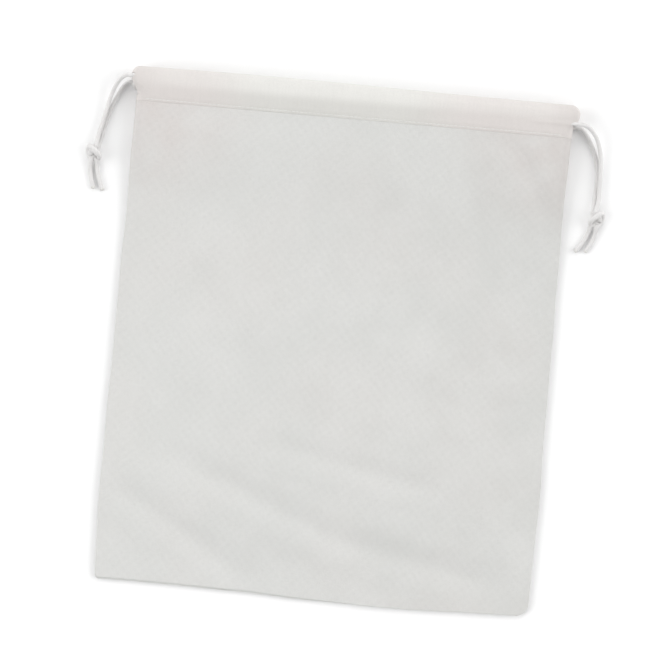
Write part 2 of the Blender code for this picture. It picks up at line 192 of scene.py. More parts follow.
# Soft folds in the body's front, in millimetres: (route, depth, width)
FRONT_FOLDS = (
    (((-118, -80), (-110.8, -86.4), (-68.6, -104.4), (-22.9, -122.7), (15.5, -137.5), (60.3, -146.2),
      (107.9, -154.5), (148, -155)), 1.36, 8.625),
    (((-50, -71), (-39.8, -73.8), (-7.7, -80.8), (23.6, -87.1), (55.7, -93.4), (95, -98)), 0.88, 7.475),
    (((-150, -106), (-145.7, -111.2), (-113.2, -130.7), (-80, -149.4), (-46.6, -171.7),
      (-40, -176)), 1.12, 8.05),
    (((113, 153), (115.6, 146.3), (127, 124), (138.5, 101.4), (143, 90)), 1.44, 8.05),
    (((133, 154), (139, 138), (147, 122), (151, 108)), 0.96, 5.75),
    (((60, 20), (90, -10), (118, -52), (128, -75)), 0.48, 10.35),
    (((-120, 60), (-92, 22), (-70, -8), (-40, -30)), 0.48, 11.5),
    (((30, -20), (70, -34), (112, -38), (146, -30)), 0.48, 10.35),
)
# The bank beside a fold, as shares of the fold's depth and width: its height, place and width
BANK_HEIGHT, BANK_PLACE, BANK_WIDTH = 0.45, 1.8, 1.1


def ease(value, start, end):
    """0 before start, 1 after end, and a smooth step between."""
    part = np.clip((value - start) / (end - start), 0, 1)
    return part * part * (3 - 2 * part)


def hump(value, middle, width):
    """A smooth hump: 1 at the middle, fading to nothing about two widths away."""
    return np.exp(-(((value - middle) / width) ** 2))


def undulation(x, y, wavelength, seed, waves=7):
    """A smooth, uneven surface between about -1 and 1."""
    draw = np.random.default_rng(seed)
    total = np.zeros(np.broadcast(x, y).shape)
    for turn, phase, stretch in draw.uniform(size=(waves, 3)):
        k = 2 * np.pi / (wavelength * (0.7 + 0.8 * stretch))
        angle = 2 * np.pi * turn
        total += np.sin(k * (x * np.cos(angle) + y * np.sin(angle)) + 2 * np.pi * phase)
    return total / math.sqrt(waves)


def reach_along(points):
    """The distance along a line at each of its points."""
    return np.concatenate([[0], np.cumsum(np.linalg.norm(np.diff(points, axis=0), axis=1))])


def places_along(points, wanted):
    """The places at the wanted distances along a line."""
    reach = reach_along(points)
    return np.stack([np.interp(wanted, reach, column) for column in points.T], axis=1)


def through(route, spacing, steps=24):
    """Evenly spaced points on the smooth curve through a route."""
    knots = np.array(route, float)
    knots = np.vstack([2 * knots[0] - knots[1], knots, 2 * knots[-1] - knots[-2]])
    t = np.linspace(0, 1, steps, endpoint=False)[:, None]
    fine = []
    for a, b, c, d in zip(knots, knots[1:], knots[2:], knots[3:]):
        square = (2 * a - 5 * b + 4 * c - d) * t**2
        cube = (3 * b - a - 3 * c + d) * t**3
        fine.append(0.5 * (2 * b + (c - a) * t + square + cube))
    fine = np.vstack([*fine, knots[-2:-1]])
    length = reach_along(fine)[-1]
    count = max(round(length / spacing), 2)
    return places_along(fine, np.linspace(0, length, count + 1))


def smooth_table(value, pairs):
    """The size at each value of a smooth curve through (place, size) pairs."""
    curve = through(pairs, (pairs[-1][0] - pairs[0][0]) / 400)
    return np.interp(value, curve[:, 0], curve[:, 1])


# ---------------------------------------------------------------- meshes


def piece(name, points, faces, finish):
    mesh = bpy.data.meshes.new(name)
    mesh.from_pydata([tuple(map(float, p)) for p in points], [], [tuple(map(int, f)) for f in faces])
    mesh.validate()
    mesh.shade_smooth()
    made = bpy.data.objects.new(name, mesh)
    made.data.materials.append(finish)
    bpy.context.scene.collection.objects.link(made)
    return made


def thicken(made, thickness, offset=-1):
    solid = made.modifiers.new("thickness", "SOLIDIFY")
    solid.thickness = thickness
    solid.offset = offset
    solid.use_even_offset = False
    return made


def grid_faces(rows, columns, close_rows=False, close_columns=False, flip=False):
    """The quads of a grid whose point (row, column) is number row * columns + column."""
    row = np.arange(rows if close_rows else rows - 1)[:, None]
    column = np.arange(columns if close_columns else columns - 1)[None, :]
    here, below = row * columns, (row + 1) % rows * columns
    right = (column + 1) % columns
    corners = [here + column, here + right, below + right, below + column]
    quads = np.stack([np.broadcast_to(c, (row.size, column.size)) for c in corners], axis=-1)
    quads = quads.reshape(-1, 4)
    return quads[:, ::-1] if flip else quads


def frames_along(points):
    """Two cross directions at each point of a line, turning as little as they can."""
    tangents = np.gradient(points, axis=0)
    tangents /= np.linalg.norm(tangents, axis=1)[:, None]
    across = np.cross(tangents[0], (0, 0, 1))
    if np.linalg.norm(across) < 0.2:
        across = np.cross(tangents[0], (1, 0, 0))
    sides = []
    for tangent in tangents:
        across = across - tangent * (across @ tangent)
        across = across / np.linalg.norm(across)
        sides.append(across)
    sides = np.array(sides)
    return sides, np.cross(tangents, sides)


def tube(points, radius, around, relief=None):
    """Points and faces of a closed tube along a line; relief(angle, reach) is added to its radius."""
    across, up = frames_along(points)
    angle = 2 * np.pi * np.arange(around) / around
    radii = np.broadcast_to(np.asarray(radius, float).reshape(-1, 1), (len(points), around)).copy()
    if relief is not None:
        radii += relief(angle[None, :], reach_along(points)[:, None])
    ring = across[:, None] * np.cos(angle)[None, :, None] + up[:, None] * np.sin(angle)[None, :, None]
    body = (points[:, None] + ring * radii[..., None]).reshape(-1, 3)
    faces = [tuple(face) for face in grid_faces(len(points), around, close_columns=True)]
    start, end = len(body), len(body) + 1
    last_ring = len(body) - around
    for i in range(around):
        j = (i + 1) % around
        faces.append((start, j, i))
        faces.append((end, last_ring + i, last_ring + j))
    return np.vstack([body, points[:1], points[-1:]]), faces


def together(parts):
    """Several (points, faces) as one."""
    points, faces, shift = [], [], 0
    for some_points, some_faces in parts:
        points.append(some_points)
        faces += [tuple(i + shift for i in face) for face in some_faces]
        shift += len(some_points)
    return np.vstack(points), faces


def gather(made):
    """Bakes the piece's placement into its points, and reads each point's share of the way up to the mouth,
    which nothing uses.
    """
    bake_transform(made)
    place = np.array([v.co for v in made.data.vertices], float)
    height = ease(place[:, 1], GATHER_FROM_Y, GATHER_TO_Y)


# ---------------------------------------------------------------- finishes


class Number:
    """A shader value that takes Python arithmetic."""

    def __init__(self, finish, socket):
        self.finish = finish
        self.socket = socket

    def __add__(self, other):
        return self.finish.math("ADD", self, other)

    def __sub__(self, other):
        return self.finish.math("SUBTRACT", self, other)

    def __rsub__(self, other):
        return self.finish.math("SUBTRACT", other, self)

    def __mul__(self, other):
        return self.finish.math("MULTIPLY", self, other)

    __radd__ = __add__
    __rmul__ = __mul__


class Finish:
    """A material and the nodes that vary it."""

    def __init__(self, name, roughness, sheen=0.0, coat=0.0):
        self.material = bpy.data.materials.new(name)
        self.material.use_nodes = True
        self.tree = self.material.node_tree
        self.shader = self.tree.nodes["Principled BSDF"]
        self.shader.inputs["Roughness"].default_value = roughness
        self.shader.inputs["Metallic"].default_value = 0
        self.shader.inputs["Sheen Weight"].default_value = sheen
        self.shader.inputs["Sheen Roughness"].default_value = 0.5
        self.shader.inputs["Coat Weight"].default_value = coat
        self.place = self.node("ShaderNodeTexCoord").outputs["Object"]

    def node(self, kind, settings=None, inputs=None):
        made = self.tree.nodes.new(kind)
        for key, value in (settings or {}).items():
            setattr(made, key, value)
        for key, value in (inputs or {}).items():
            value = value.socket if isinstance(value, Number) else value
            if isinstance(value, bpy.types.NodeSocket):
                self.tree.links.new(value, made.inputs[key])
            else:
                made.inputs[key].default_value = value
        return made

    def math(self, operation, first, second=0.0):
        made = self.node("ShaderNodeMath", {"operation": operation}, {0: first, 1: second})
        return Number(self, made.outputs[0])

    def axes(self):
        split = self.node("ShaderNodeSeparateXYZ", inputs={0: self.place})
        return [Number(self, split.outputs[i]) for i in range(3)]

    def step(self, value, start, end, low=0.0, high=1.0):
        """A smooth step: low where the value is below start, and high above end."""
        made = self.node(
            "ShaderNodeMapRange",
            {"interpolation_type": "SMOOTHSTEP"},
            {"Value": value, "From Min": start, "From Max": end, "To Min": low, "To Max": high},
        )
        return Number(self, made.outputs[0])

    def noise(self, size, detail=2.0, roughness=0.5, squeeze=None):
        """Soft noise about one half. squeeze packs it closer along x, y and z."""
        place = self.place
        if squeeze:
            inputs = {0: place, 1: squeeze}
            place = self.node("ShaderNodeVectorMath", {"operation": "MULTIPLY"}, inputs).outputs[0]
        inputs = {"Vector": place, "Scale": 1 / size, "Detail": detail, "Roughness": roughness}
        return Number(self, self.node("ShaderNodeTexNoise", inputs=inputs).outputs["Fac"])

    def patches(self, size, start, end, **how):
        """Uneven patches: 0 where the noise of this size is below start, and 1 above end."""
        return self.step(self.noise(size, **how), start, end)

    def weave(self, pitch, waver):
        """Warp and weft: the height of a plain weave, and how near the closest thread is."""
        x, y, _ = self.axes()
        drift = (self.noise(WEAVE_DRIFT_SIZE) - 0.5) * waver
        warp = self.math("SINE", x * (math.pi / pitch) + drift)
        weft = self.math("SINE", y * (math.pi / pitch) + drift)
        rise = CROSSING_RISE * (warp * weft)
        level = 1 - CROSSING_RISE
        warp, weft = self.math("ABSOLUTE", warp), self.math("ABSOLUTE", weft)
        height = self.math("MAXIMUM", warp * (level + rise), weft * (level - rise))
        return height, self.math("MAXIMUM", warp, weft)

    def mix(self, share, first, second):
        made = self.node("ShaderNodeMix", {"data_type": "RGBA"}, {0: share, 6: first, 7: second})
        return made.outputs[2]

    def feed(self, socket, value):
        value = value.socket if isinstance(value, Number) else value
        self.tree.links.new(value, self.shader.inputs[socket])

    def bump(self, height, depth):
        made = self.node("ShaderNodeBump", inputs={"Height": height, "Distance": depth})
        self.feed("Normal", made.outputs[0])


def colour(red, green, blue):
    return (red, green, blue, 1)


MESH_COOL = colour(0.697, 0.699, 0.681)
MESH_WARM = colour(0.702, 0.692, 0.673)
MESH_PINK = colour(0.69, 0.634, 0.615)
MESH_PALE = colour(0.735, 0.737, 0.722)
# Darker tone for the mesh's grain and its slight darkening towards the right, and painted shade in the gaps
# between its threads
MESH_SHADE = colour(0.52, 0.52, 0.50)
CASING_WARM = colour(0.68, 0.64, 0.62)
# Painted highlight: a lit copy of the casing's warm tone, for its puffed band
CASING_PAINTED_HIGHLIGHT = colour(0.745, 0.712, 0.69)
CASING_MIDDLE_FLAT = colour(0.66, 0.652, 0.622)
# Painted highlight: a lit copy of the casing's middle tone, for its puffed band
CASING_MIDDLE_PAINTED_HIGHLIGHT = colour(0.77, 0.763, 0.733)
# Darker tone for the casing's grain and streaks, and painted shade in the gaps between its threads
CASING_SHADE = colour(0.52, 0.51, 0.49)
THREAD_PALE = colour(0.86, 0.86, 0.84)
THREAD_SHADE = colour(0.70, 0.70, 0.68)
CORD_PALE = colour(0.80, 0.79, 0.785)
CORD_SHADE = colour(0.68, 0.67, 0.66)
TIP_PALE = colour(0.78, 0.775, 0.75)
TIP_SHADE = colour(0.60, 0.59, 0.565)

# The weaves: their threads' spacing, how a thread rises at a crossing, and how its course drifts
MESH_PITCH = 0.78 * MM
CASING_PITCH = 0.55 * MM
CROSSING_RISE = 0.2
WEAVE_DRIFT_SIZE = 18 * MM

# The casing's faint streaks: their length, and how closely they are squeezed in x, y and z
STREAK_LENGTH = 50 / 3 * MM
STREAK_SQUEEZE = (9, 1, 9)


def mesh_cloth_finish(name):
    """Fine, slightly sheer polyester mesh, pinkish in the two corners below the casing, with painted shade
    in the gaps between its threads.
    """
    finish = Finish(name, roughness=0.9, sheen=0.15)
    height, nearest_thread = finish.weave(MESH_PITCH, waver=1.8)
    gaps = 1 - finish.step(nearest_thread, 0.3, 0.7)
    warmth = finish.patches(75 * MM, 0.38, 0.66)
    blotches = finish.patches(38 * MM, 0.3, 0.72, detail=4, roughness=0.62)
    grain = finish.patches(1.3 * MM, 0.3, 0.75, detail=3, roughness=0.7)
    x, y, _ = finish.axes()
    rightwards = finish.step(x, -150 * MM, 150 * MM)
    corners = finish.step(finish.math("ABSOLUTE", x), 55 * MM, 145 * MM) * finish.step(y, 75 * MM, 150 * MM)
    tone = finish.mix(warmth, MESH_COOL, MESH_WARM)
    tone = finish.mix(corners * 0.85, tone, MESH_PINK)
    tone = finish.mix(rightwards * 0.19, tone, MESH_SHADE)
    tone = finish.mix(blotches * 0.55, tone, MESH_PALE)
    # Painted shade in the gaps between the threads, with the yarn's grain
    tone = finish.mix(grain * 0.2 + gaps * 0.2, tone, MESH_SHADE)
    finish.feed("Base Color", tone)
    finish.feed("Alpha", 1 - gaps * 0.45)
    finish.feed("Roughness", finish.step(grain, 0, 1, 0.84, 0.95))
    finish.bump(height + grain * 0.5, 0.12 * MM)
    return finish.material


def casing_cloth_finish(name):
    """The casing's closer, smoother weave, less pink in its middle, with a painted highlight on its puffed
    band and painted shade between its threads.
    """
    finish = Finish(name, roughness=0.88, sheen=0.15)
    height, nearest_thread = finish.weave(CASING_PITCH, waver=1.2)
    gaps = 1 - finish.step(nearest_thread, 0.25, 0.75)
    blotches = finish.patches(30 * MM, 0.32, 0.7, detail=4, roughness=0.6)
    streaks = finish.patches(STREAK_LENGTH, 0.35, 0.7, detail=3, squeeze=STREAK_SQUEEZE)
    grain = finish.patches(1.1 * MM, 0.3, 0.75, detail=3, roughness=0.7)
    x, y, _ = finish.axes()
    middle = finish.step(finish.math("ABSOLUTE", x + 15 * MM), 45 * MM, 100 * MM, 1, 0)
    # Painted highlight on the puffed band: paler than the rest of the casing, fading out towards its turned
    # ends, with random blotches adding a little to it
    short_of_ends = finish.step(finish.math("ABSOLUTE", x), 128 * MM, 153 * MM, 1, 0.1)
    puffed = finish.step(y, 163.5 * MM, 171 * MM) * short_of_ends
    flat_tone = finish.mix(middle, CASING_WARM, CASING_MIDDLE_FLAT)
    highlight_tone = finish.mix(middle, CASING_PAINTED_HIGHLIGHT, CASING_MIDDLE_PAINTED_HIGHLIGHT)
    tone = finish.mix(puffed * 0.85 + blotches * 0.15, flat_tone, highlight_tone)
    # Painted shade in the gaps between the threads, with the yarn's grain and faint streaks
    tone = finish.mix(grain * 0.12 + gaps * 0.2 + streaks * 0.06, tone, CASING_SHADE)
    finish.feed("Base Color", tone)
    finish.feed("Roughness", finish.step(grain, 0, 1, 0.82, 0.94))
    finish.bump(height + grain * 0.4, 0.08 * MM)
    return finish.material


def yarn_finish(name, pale, shade, strand, roughness, sheen):
    """Spun yarn: fine fibres in a slightly uneven white."""
    finish = Finish(name, roughness=roughness, sheen=sheen)
    fibres = finish.patches(strand, 0.3, 0.72, detail=4, roughness=0.75)
    drift = finish.patches(18 * MM, 0.35, 0.68)
    finish.feed("Base Color", finish.mix(fibres * 0.6 + drift * 0.3, pale, shade))
    finish.feed("Roughness", finish.step(fibres, 0, 1, roughness - 0.06, roughness + 0.05))
    finish.bump(fibres, 0.1 * MM)
    return finish.material


def sealed_finish(name):
    """A cord's melted tip: glossier and a little darker than the yarn."""
    finish = Finish(name, roughness=0.5, coat=0.15)
    blobs = finish.patches(0.9 * MM, 0.35, 0.7, detail=3)
    finish.feed("Base Color", finish.mix(blobs, TIP_PALE, TIP_SHADE))
    finish.feed("Roughness", finish.step(blobs, 0, 1, 0.42, 0.62))
    finish.bump(blobs, 0.15 * MM)
    return finish.material


mesh_cloth = mesh_cloth_finish("mesh_cloth")
casing_cloth = casing_cloth_finish("casing_cloth")
thread = yarn_finish("thread", THREAD_PALE, THREAD_SHADE, strand=0.35 * MM, roughness=0.7, sheen=0.1)
cord_yarn = yarn_finish("cord_yarn", CORD_PALE, CORD_SHADE, strand=0.6 * MM, roughness=0.85, sheen=0.08)
sealed_cord = sealed_finish("sealed_cord")


# ---------------------------------------------------------------- the cloth body


def half_width(y, side):
    """The outline's distance from the middle, with the bottom corner rounded and a slight waver."""
    width = smooth_table(y / MM, SIDE_EDGES[side]) * MM
    radius = CORNER_RADIUS[side]
    into_corner = np.clip(radius - (y - BOTTOM_Y), 0, radius)
    waver = EDGE_WAVER * undulation(y, 40 * MM * side, 50 * MM, seed=4)
    waver = waver * (1 - ease(y, 110 * MM, 150 * MM))
    return width + waver - radius + np.sqrt(radius**2 - into_corner**2)


def bow(x, y):
    """How far the bottom edge and the cloth just above it have moved down."""
    return BOTTOM_BOW * hump(x, BOW_MIDDLE_X, BOW_WIDTH) * (1 - ease(y, BOTTOM_Y, BOTTOM_Y + BOW_HEIGHT))


def edge_lift(y):
    """How far the side edges stand off the table, up to the middle of the mouth's turned ends."""
    at_mouth = TURN_Z - EDGE_THICKNESS / 2
    low = BOTTOM_FLOAT + (EDGE_FLOAT - BOTTOM_FLOAT) * ease(y, BOTTOM_Y, BOTTOM_Y + 30 * MM)
    return low + (at_mouth - low) * ease(y, 50 * MM, CASING_LOW_Y + 6 * MM)


def mouth_arc(share):
    """How far the mouth's ring stands from its middle height: full in front, none at the two ends."""
    turn = TURN_X / HALF_WIDTH_AT_MOUTH
    past = np.clip((np.abs(share) - turn) / (1 - turn), 0, 1)
    return TURN_RADIUS * np.sqrt(1 - past**2)


def fold(x, y, route, depth, width):
    """A soft valley along a route, with a low bank on each side of it, fading at its two ends."""
    line = through(np.array(route) * MM, 4 * MM)
    away = np.full(x.shape, np.inf)
    along = np.zeros(x.shape)
    for i, (a, b) in enumerate(zip(line, line[1:])):
        run = b - a
        part = np.clip(((x - a[0]) * run[0] + (y - a[1]) * run[1]) / (run @ run), 0, 1)
        from_run = np.hypot(x - a[0] - part * run[0], y - a[1] - part * run[1])
        along = np.where(from_run < away, (i + part) / (len(line) - 1), along)
        away = np.minimum(away, from_run)
    fade = ease(along, 0, 0.2) * (1 - ease(along, 0.8, 1))
    away = away / (width * MM)
    return depth * MM * fade * (BANK_HEIGHT * hump(away, BANK_PLACE, BANK_WIDTH) - hump(away, 0, 1))


def edge_stations(length, end_is_edge):
    """Places along a cloth, close together near its start and, if that is an edge, near its end."""
    start = np.cumsum(EDGE_STEPS) * MM
    end = length - start[::-1] if end_is_edge else np.array([length])
    count = round((end[0] - start[-1]) / CLOTH_SPACING)
    return np.concatenate([start[:-1], np.linspace(start[-1], end[0], count + 1), end[1:]])


def panel_grid():
    """Each point's share of the half width, its height, how far past the side it lies, and its turn
    round the rolled edge, from 1 on the outer face to -1 on the allowance."""
    turns = np.linspace(-np.pi / 2, np.pi / 2, 9)
    flap = np.array([FLAP, FLAP / 2])
    edge_past = np.concatenate([flap, -ROLL * np.cos(turns)])
    edge_turn = np.concatenate([-np.ones(len(flap)), np.sin(turns)])
    edge_share = np.ones(len(edge_turn))

    share = edge_stations(2 * HALF_WIDTH, True) / HALF_WIDTH - 1
    flat = np.ones(len(share))
    share = np.concatenate([-edge_share, share, edge_share])
    past = np.concatenate([edge_past, 0 * flat, -edge_past[::-1]])
    column_turn = np.concatenate([edge_turn, flat, edge_turn[::-1]])

    low = BOTTOM_Y + ROLL
    height = edge_stations(CASING_LOW_Y + TUCK - low, False)
    row_turn = np.concatenate([edge_turn, np.ones(len(height))])
    height = low + np.concatenate([edge_past, height])

    height, share = np.meshgrid(height, share, indexing="ij")
    turn = np.minimum(row_turn[:, None], column_turn[None, :])
    return share, height, np.broadcast_to(past, turn.shape), turn


def front_face(share, y, from_bottom, lift):
    """The front cloth's outer face: on its seams at the edges, lofted between them, level at the casing."""
    at_mouth = ease(y, -60 * MM, CASING_LOW_Y + 10 * MM)
    loft = LOFT * (1 - np.exp(-((from_bottom / LOFT_LENGTH) ** 1.6)))
    loft = loft - lift + BOTTOM_FLOAT * hump(from_bottom, 0, FLOAT_LENGTH)
    rise = FRONT_Z + CLOTH / 2 - edge_lift(CASING_LOW_Y) - EDGE_THICKNESS
    crown = (loft + (rise - loft) * at_mouth) * (1 - np.abs(share) ** (3.5 + 4.5 * at_mouth))
    return lift + EDGE_THICKNESS + crown


def back_face(share, y, from_bottom, lift):
    """The back cloth's outer face: on the table but for its edges and the casing."""
    level = (BACK_Z - CLOTH / 2) * ease(y, 138 * MM, CASING_LOW_Y)
    flat = (1 - np.abs(share) ** 14) * (1 - hump(from_bottom, 0, 12 * MM))
    return lift + (level - lift) * flat


def front_relief(x, y, from_side, off_edges):
    """The front cloth's folds, its unevenness, and its hang just below the casing."""
    folds = sum(fold(x, y, *one) for one in FRONT_FOLDS) * ease(from_side, -2 * MM, 8 * MM)
    uneven = 0.22 * MM * undulation(x, y, 55 * MM, seed=2) + 0.06 * MM * undulation(x, y, 17 * MM, seed=3)
    hang = 0.25 * MM * hump(y, CASING_LOW_Y - 5 * MM, 5 * MM)
    return folds + (uneven - hang) * off_edges


def cloth_layer(name, is_front, peek=0.0):
    """One cloth: its outer face, the roll at its edges and the start of the turned-in allowance.
    peek is how far its bottom edge shows below the other cloth's on the left."""
    share, y_flat, past_side, turn = panel_grid()
    width = np.where(share < 0, half_width(y_flat, -1), half_width(y_flat, 1)) - ROLL
    x = share * width + past_side
    bottom_waver = EDGE_WAVER * undulation(x, 0 * x, 60 * MM, seed=9) - peek * ease(-x, -60 * MM, 40 * MM)
    y = y_flat + bottom_waver * (1 - ease(y_flat, BOTTOM_Y, BOTTOM_Y + 60 * MM)) - bow(x, y_flat)

    outward = 1 if is_front else -1
    face = front_face if is_front else back_face
    z = face(share, y, np.clip(y_flat - BOTTOM_Y, 0, None), edge_lift(y))
    ring = TURN_Z + outward * (mouth_arc(share) + CLOTH / 2)
    z = z + (ring - z) * ease(y, 85 * MM, CASING_LOW_Y - 1 * MM)

    from_side = np.clip(1 - np.abs(share), 0, 1) * HALF_WIDTH
    off_edges = ease(from_side, 0, 14 * MM) * ease(y_flat, BOTTOM_Y, BOTTOM_Y + 12 * MM)
    if is_front:
        relief = front_relief(x, y, from_side, off_edges)
    else:
        relief = 0.12 * MM * (1 + undulation(x, y, 60 * MM, seed=5)) * off_edges
    z = z + relief * (1 - ease(y, CASING_LOW_Y - 16 * MM, CASING_LOW_Y - 1 * MM))
    z = z - outward * ROLL * (1 - turn)
    points = np.stack([x, y, z], axis=-1).reshape(-1, 3)
    made = piece(name, points, grid_faces(*x.shape, flip=not is_front), mesh_cloth)
    return thicken(made, CLOTH)


def edge_line(edge, inset):
    """Points inside a seamed edge, at the middle of its thickness."""
    if edge == "bottom":
        x = np.arange(-BOTTOM_SEAM_END_X, BOTTOM_SEAM_END_X + 0.1 * MM, SEAM_SPACING)
        y = BOTTOM_Y + inset - bow(x, BOTTOM_Y)
        lift = 0 * x + BOTTOM_FLOAT
    else:
        y = np.arange(BOTTOM_Y + 2 * MM, CASING_LOW_Y - 1.5 * MM, SEAM_SPACING)
        x = SIDES[edge] * (half_width(y, SIDES[edge]) - inset)
        lift = edge_lift(y)
    return np.stack([x, y, lift + EDGE_THICKNESS / 2], axis=1)


def allowance(name, line, inward):
    """The two raw plies of a seam allowance, lying inside the bag along an edge."""
    parts = []
    steps = np.linspace(0, 1, 5)[None, :, None]
    for ply, height in enumerate((-0.22 * MM, 0.22 * MM)):
        across = line[:, None] + inward * ALLOWANCE_WIDTH * steps
        wave = 0.1 * MM * undulation(line[:, 0], line[:, 1], 13 * MM, seed=20 + ply)
        across = across + np.array((0, 0, 1)) * (height + wave[:, None, None] * steps)
        faces = [tuple(face) for face in grid_faces(len(line), steps.size)]
        parts.append((across.reshape(-1, 3), faces))
    points, faces = together(parts)
    made = piece(name, points, faces, mesh_cloth)
    return thicken(made, 0.25 * MM, offset=0)


def overlock(name, line, inward):
    """The thread that wraps a raw edge, loop after loop."""
    reach = np.arange(0, reach_along(line)[-1], 0.32 * MM)
    turn = 2 * np.pi * reach / OVERLOCK_PITCH
    path = places_along(line, reach) + inward * OVERLOCK_REACH * np.cos(turn)[:, None]
    path[:, 2] += OVERLOCK_HEIGHT * np.sin(turn)
    points, faces = tube(path, OVERLOCK_THREAD, around=5)
    return piece(name, points, faces, thread)


def seam(edge, node):
    """An edge's seam: its allowance, and the thread that wraps it."""
    inward = np.array(INWARD[edge])
    strip = allowance(edge + "_seam_allowance", edge_line(edge, ALLOWANCE_INSET), inward)
    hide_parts(node + "_seam")
    loops = overlock(edge + "_overlock_thread", edge_line(edge, OVERLOCK_INSET), inward)
    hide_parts(node + "_stitching")
    return [strip, loops]


front_cloth = cloth_layer("front_cloth", True)
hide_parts("front_panel")
back_cloth = cloth_layer("back_cloth", False, peek=1.0 * MM)
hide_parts("back_panel")
side_seams = seam("left", "left_side") + seam("right", "right_side")
bottom_seam = seam("bottom", "bottom")


# ---------------------------------------------------------------- the casing

# How full the casing is, from its stitched lower edge to its folded top, in millimetres
CASING_SHAPE = (
    (155.0, 0.1), (155.12, 0.3), (155.4, 0.5), (156.0, 0.6), (156.6, 0.58), (157.3, 0.78), (158.5, 1.1),
    (161, 1.5), (163.5, 1.85), (166, 2.1), (168, 2.2), (170, 2.18), (172, 2.02), (174, 1.7),
    (175.6, 1.3), (176.8, 0.9), (177.6, 0.48), (178.0, 0.05),
)
CASING_FULLEST = 2.5 * MM

# In millimetres: how much higher the puffed band starts on the right, and the bulge over a cord
BAND_NARROWING = 3.4
CORD_BULGE = 1.8

# The turned ends' distances from the middle, in millimetres: (height, distance)
END_OUTLINE = {
    -1: (
        (155, 152.1), (158, 151.8), (161, 152.0), (164, 153.3), (167, 155.2), (170, 156.4), (172.5, 156.7),
        (175, 156.1), (177, 154.4), (178, 152.6),
    ),
    1: (
        (155, 152.3), (159, 152.4), (162, 153.0), (164.5, 154.1), (167, 155.7), (170, 156.6), (173, 156.7),
        (175.5, 155.6), (177, 153.8), (178, 152.0),
    ),
}

# The heights of the casing's rows of points, in millimetres: up its outer face and down its inner one
OUTER_Y = np.array([
    155.0, 155.1, 155.3, 155.6, 155.9, 156.2, 156.5, 156.8, 157.2, 157.7, 158.5, 159.6, 160.8, 161.6, 162.4,
    163.3, 164.3, 165.2, 166.2, 167.0, 167.8, 168.4, 169.2, 170.3, 171.4, 172.2, 173.2, 174.2, 175.2, 176.0,
    176.7, 177.2, 177.6, 177.85, 178.0,
])
INNER_Y = np.array([177.7, 176.8, 175.2, 173.0, 170.5, 168.0, 165.5, 163.0, 160.5, 158.0, 156.2, 155.3])

# A slit lies between two of the outer rows, which are moved to its edges, in millimetres
SLIT_ROWS = {-1: (168.4, 172.2), 1: (162.4, 166.2)}
SLIT_HALF_ANGLE = math.radians(50)
SLIT_HALF_WIDTH = 1.6

# The casing's lock stitches, in millimetres
STITCH_Y = 156.6
STITCH_PITCH = 2.9
STITCH_GAP = 0.5


def fullness(y_mm, x, is_front=True):
    """The casing's outer face from its middle plane. The puffed band narrows towards the right end."""
    narrowing = BAND_NARROWING * ease(x, 0, 120 * MM)
    shifted = y_mm - narrowing * np.interp(y_mm, (158.5, 165, 171, 175), (0, 1, 0.8, 0))
    full = smooth_table(shifted, CASING_SHAPE)
    if is_front:
        from_cord = (y_mm - RIGHT_CORD_Y["front"] / MM) / 3.0
        over_cord = CORD_BULGE * np.exp(-(from_cord**4)) * ease(x, 85 * MM, 135 * MM)
    else:
        from_cord = (y_mm - RIGHT_CORD_Y["back"] / MM) / 3.4
        over_cord = CORD_BULGE * np.exp(-(from_cord**4))
    return np.maximum(full, over_cord + 0.1 * full * (over_cord > 0)) * MM


def top_bow(x):
    """How far the casing's folded top has moved up."""
    return TOP_BOW * hump(x, TOP_BOW_MIDDLE_X, TOP_BOW_WIDTH) * (1 - ease(x, 120 * MM, 150 * MM))


def ring_stations():
    """(side, angle, x) round the mouth: along the front, round the right end, back, and round the left."""
    straight = np.linspace(-STRAIGHT_END_X, STRAIGHT_END_X, 144)
    turn = np.radians(np.linspace(90, -90, 25))[1:-1]
    stations = [(0, math.pi / 2, x) for x in straight]
    stations += [(1, angle, None) for angle in turn]
    stations += [(0, -math.pi / 2, x) for x in straight[::-1]]
    stations += [(-1, angle, None) for angle in turn[::-1]]
    return stations


def on_ring(station, y, offset):
    """Places at heights y and offsets from the casing's middle plane, at one station."""
    side, angle, x = station
    reach = TURN_RADIUS + offset
    up = math.sin(angle)
    if side == 0:
        return np.stack([0 * y + x, y, TURN_Z + reach * up], axis=1)
    outline = smooth_table(y / MM, END_OUTLINE[side]) * MM
    centre = outline - TURN_RADIUS - fullness(y / MM, side * TURN_X, up > 0)
    # The puffed part of an end is squarer than a half round
    power = 1 - 0.45 * ease(y, 160 * MM, 167 * MM)
    level = np.sign(up) * np.abs(up) ** power
    return np.stack([side * (centre + reach * np.cos(angle) ** power), y, TURN_Z + reach * level], axis=1)


def slit_y(y_mm, station):
    """Draws the two rows beside a slit to its edges, which slant from the front cord to the back one."""
    side, angle, _ = station
    if side == 0:
        return y_mm
    cord_y = LEFT_CORD_Y if side < 0 else RIGHT_CORD_Y
    low, high = SLIT_ROWS[side]
    towards_front = (math.sin(angle) / math.sin(SLIT_HALF_ANGLE) + 1) / 2
    towards_front = min(max(towards_front, 0), 1)
    middle = (cord_y["back"] + (cord_y["front"] - cord_y["back"]) * towards_front) / MM
    strength = 1 - float(ease(abs(angle), SLIT_HALF_ANGLE, math.radians(88)))
    new_low = low + (middle - SLIT_HALF_WIDTH - low) * strength
    new_high = high + (middle + 0.75 * SLIT_HALF_WIDTH - high) * strength
    return np.interp(y_mm, (155, 158, low, high, 177, 178), (155, 158, new_low, new_high, 177, 178))


